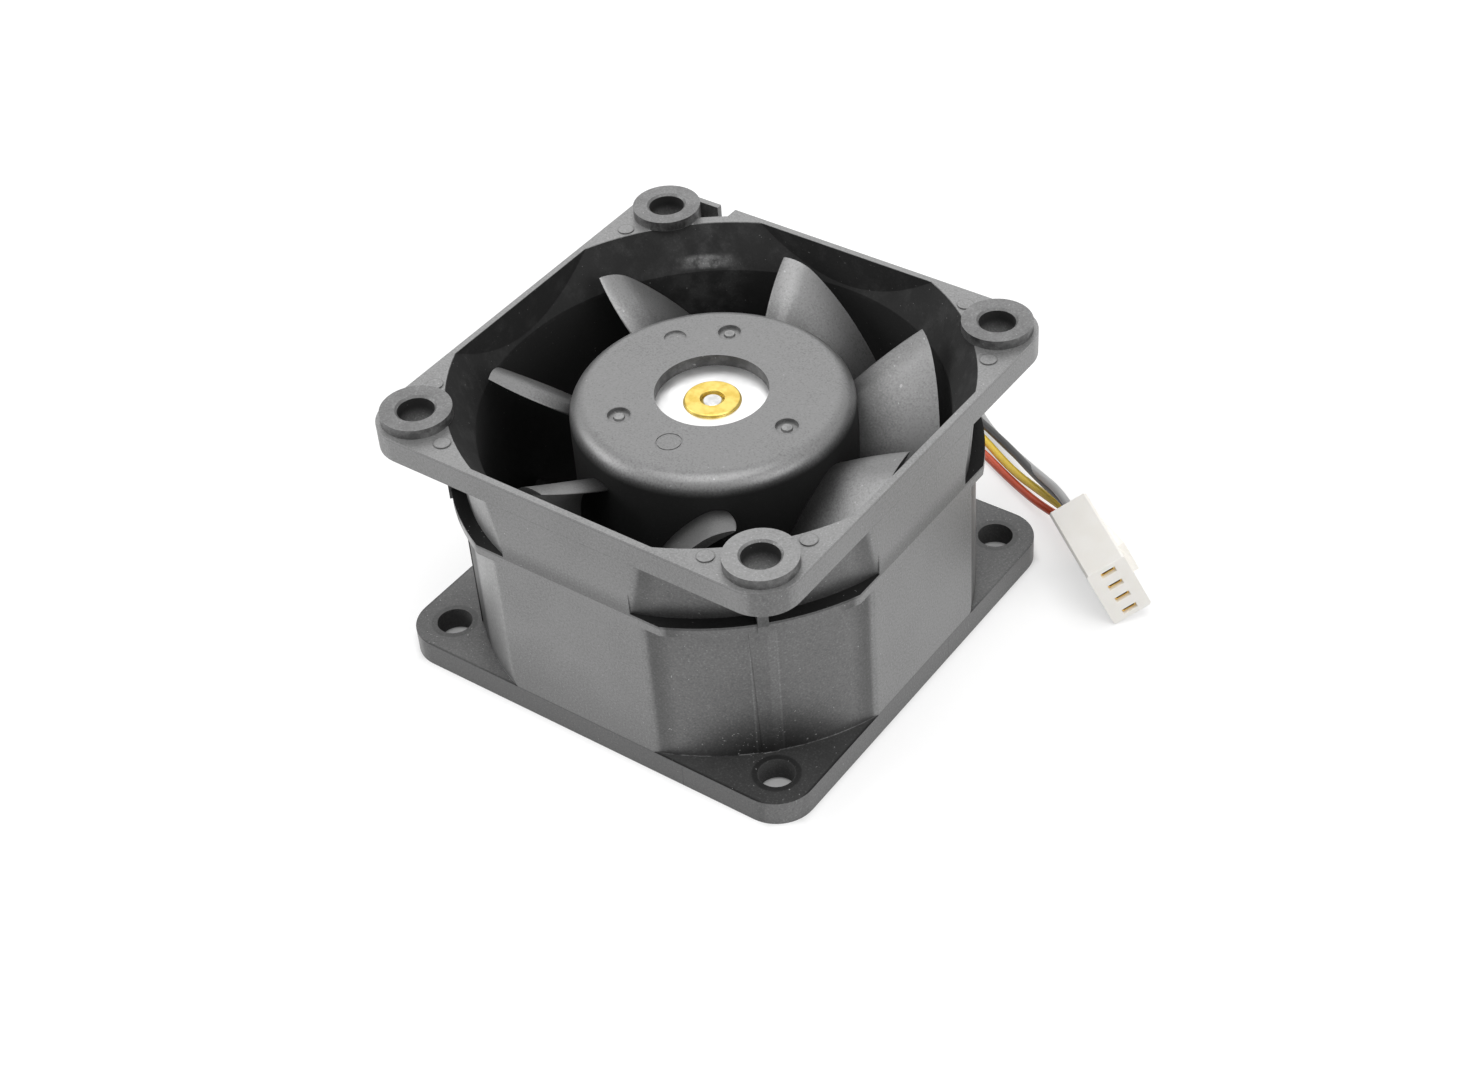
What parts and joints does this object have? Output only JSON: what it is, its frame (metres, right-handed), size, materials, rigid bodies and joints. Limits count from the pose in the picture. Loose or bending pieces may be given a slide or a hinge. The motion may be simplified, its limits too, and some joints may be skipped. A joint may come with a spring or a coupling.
{
  "type": "axial cooling fan",
  "caption": "Axial cooling fan in a square moulded frame with a swept-blade impeller on ball bearings, a brushless motor, outlet guide vanes and coloured leads to a plug.",
  "frame": {"origin": "centre of the outlet face of the housing, on the shaft axis", "axes": "+Z along the shaft towards the inlet; X and Y along the sides of the square frame"},
  "size_m": [0.0777, 0.0834, 0.038],
  "materials": {
    "frame_plastic": "glass-filled moulding, slightly speckled satin",
    "impeller_plastic": "glass-filled moulding, satin",
    "brass": "turned, satin",
    "bearing_steel": "ground and polished",
    "shield_steel": "rolled, satin",
    "cage_nylon": "natural nylon",
    "core_steel": "stacked laminations",
    "insulator_nylon": "moulded, matte",
    "copper_wire": "enamelled copper, glossy",
    "board_laminate": "green solder mask on glass laminate",
    "solder": "tinned, satin",
    "chip_epoxy": "moulded epoxy, matte",
    "capacitor_can": "drawn can, satin",
    "resistor_ceramic": "ceramic with tinned ends",
    "yoke_steel": "zinc plated, near white, satin",
    "magnet_rubber": "bonded ferrite, matte",
    "shaft_steel": "ground",
    "spring_steel": "drawn wire",
    "grey_insulation": "smooth vinyl",
    "black_insulation": "smooth vinyl",
    "yellow_insulation": "smooth vinyl",
    "red_insulation": "smooth vinyl",
    "connector_nylon": "natural white nylon, slightly translucent",
    "contact_gold": "gold plated"
  },
  "bodies": {
    "stator": {"frame_housing": "frame_plastic", "bearing_tube": "brass", "upper_bearing_outer_ring": "bearing_steel", "lower_bearing_outer_ring": "bearing_steel", "upper_bearing_shields": "shield_steel", "lower_bearing_shields": "shield_steel", "stator_core": "core_steel", "upper_insulator": "insulator_nylon", "lower_insulator": "insulator_nylon", "coil_windings": "copper_wire", "circuit_board": "board_laminate", "terminal_pins": "solder", "driver_chip": "chip_epoxy", "hall_sensor": "chip_epoxy", "board_capacitors": "capacitor_can", "board_resistors": "resistor_ceramic", "channel_grey_lead": "grey_insulation", "channel_black_lead": "black_insulation", "channel_yellow_lead": "yellow_insulation", "channel_red_lead": "red_insulation", "grey_lead": "grey_insulation", "black_lead": "black_insulation", "yellow_lead": "yellow_insulation", "red_lead": "red_insulation", "connector_housing": "connector_nylon", "connector_contacts": "contact_gold"},
    "rotor": {"impeller": "impeller_plastic", "rotor_yoke": "yoke_steel", "rotor_magnet": "magnet_rubber", "shaft_bush": "brass", "shaft": "shaft_steel", "upper_bearing_inner_ring": "bearing_steel", "lower_bearing_inner_ring": "bearing_steel", "retaining_clip": "spring_steel", "thrust_washer": "shield_steel", "preload_spring": "spring_steel"},
    "upper_cage": {"upper_bearing_cage": "cage_nylon", "upper_bearing_balls": "bearing_steel"},
    "lower_cage": {"lower_bearing_cage": "cage_nylon", "lower_bearing_balls": "bearing_steel"}
  },
  "joints": [
    {"name": "rotor_spin", "type": "hinge", "parent": "stator", "child": "rotor", "pos_m": [0, 0, 0.02], "axis": [0, 0, 1], "continuous": true},
    {"name": "upper_cage_orbit", "type": "hinge", "parent": "stator", "child": "upper_cage", "pos_m": [0, 0, 0.0234], "axis": [0, 0, 1], "continuous": true},
    {"name": "lower_cage_orbit", "type": "hinge", "parent": "stator", "child": "lower_cage", "pos_m": [0, 0, 0.0052], "axis": [0, 0, 1], "continuous": true}
  ],
  "couplings": [
    {"joint": "upper_cage_orbit", "follows": "rotor_spin", "ratio": 0.3757},
    {"joint": "lower_cage_orbit", "follows": "rotor_spin", "ratio": 0.3757}
  ]
}
